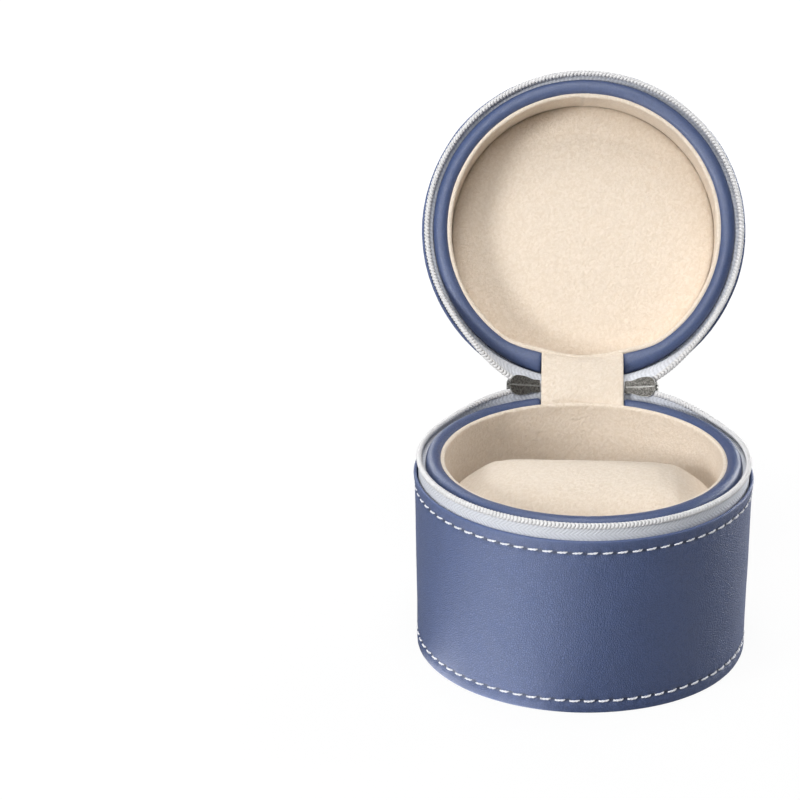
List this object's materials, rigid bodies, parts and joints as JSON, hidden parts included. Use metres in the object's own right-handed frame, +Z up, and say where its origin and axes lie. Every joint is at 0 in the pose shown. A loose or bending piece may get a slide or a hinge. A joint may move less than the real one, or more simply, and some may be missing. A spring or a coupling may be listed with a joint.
{
  "type": "watch travel case",
  "caption": "Round zipped travel case for a wristwatch: leather drum with a hinged lid, two-slider zip round the mouth, suede lining and a lift-out cushion.",
  "frame": {"origin": "centre of the drum's base, on the surface that the case stands on", "axes": "+Z up along the drum's axis, -Y towards the front opening, +Y towards the hinge, +X to the right seen from the front"},
  "size_m": [0.1042, 0.1715, 0.1536],
  "materials": {
    "navy_leather": "pebbled semi-matt",
    "ring_leather": "smooth satin",
    "cream_suede": "napped matt",
    "greyboard": "raw board",
    "foam": "open-cell foam",
    "zip_tape": "woven matt",
    "zip_coil": "nylon coil",
    "thread": "twisted thread",
    "pewter": "dark pewter plating",
    "bright_metal": "bright plating"
  },
  "bodies": {
    "case": {"base_cover": "navy_leather", "base_board": "greyboard", "body_leather": "navy_leather", "body_shell": "greyboard", "body_collar_board": "greyboard", "body_collar": "ring_leather", "body_lining": "cream_suede", "floor_pad": "cream_suede", "body_zip_tape": "zip_tape", "body_zip_coil": "zip_coil", "body_edge_stitches": "thread", "base_stitches": "thread", "hinge_leather": "navy_leather", "hinge_suede": "cream_suede"},
    "lid": {"lid_leather": "navy_leather", "lid_shell": "greyboard", "lid_collar_board": "greyboard", "lid_collar": "ring_leather", "lid_lining": "cream_suede", "lid_lining_disc": "cream_suede", "lid_lining_foam": "foam", "lid_board": "greyboard", "lid_top_foam": "foam", "lid_top_cover": "navy_leather", "lid_zip_tape": "zip_tape", "lid_zip_coil": "zip_coil", "lid_edge_stitches": "thread", "lid_crown_stitches": "thread"},
    "zip_end": {"zip_end_chain": "zip_coil", "zip_end_stops": "bright_metal"},
    "slider_left": {"slider_body_left": "pewter", "slider_bail_left": "bright_metal"},
    "pull_left": {"slider_pull_left": "pewter"},
    "slider_right": {"slider_body_right": "pewter", "slider_bail_right": "bright_metal"},
    "pull_right": {"slider_pull_right": "pewter"},
    "pillow": {"pillow_cover": "cream_suede", "pillow_core": "foam"}
  },
  "joints": [
    {"name": "lid_hinge", "type": "hinge", "parent": "case", "child": "lid", "pos_m": [0, 0.0514, 0.0627], "axis": [-1, 0, 0], "range_deg": [-117, 0], "deforming": ["hinge_leather", "hinge_suede"]},
    {"name": "zip_end_fold", "type": "hinge", "parent": "case", "child": "zip_end", "pos_m": [0, 0.0514, 0.0627], "axis": [-1, 0, 0], "range_deg": [-30, 0]},
    {"name": "slider_left_run", "type": "hinge", "parent": "zip_end", "child": "slider_left", "pos_m": [0, 0.00689, 0.0884], "axis": [0, -0.5, -0.866], "range_deg": [-152, 0]},
    {"name": "slider_right_run", "type": "hinge", "parent": "zip_end", "child": "slider_right", "pos_m": [0, 0.00689, 0.0884], "axis": [0, 0.5, 0.866], "range_deg": [-152, 0]},
    {"name": "pull_left_swing", "type": "hinge", "parent": "slider_left", "child": "pull_left", "pos_m": [-0.01984, 0.0494, 0.06385], "axis": [0, 0.5, 0.866], "range_deg": [-9, 102]},
    {"name": "pull_right_swing", "type": "hinge", "parent": "slider_right", "child": "pull_right", "pos_m": [0.01984, 0.0494, 0.06385], "axis": [0, -0.5, -0.866], "range_deg": [-9, 102]},
    {"name": "pillow_lift", "type": "slide", "parent": "case", "child": "pillow", "axis": [0, 0, 1], "range_m": [0, 0.07]}
  ],
  "couplings": [
    {"joint": "zip_end_fold", "follows": "lid_hinge", "ratio": 0.25641}
  ]
}
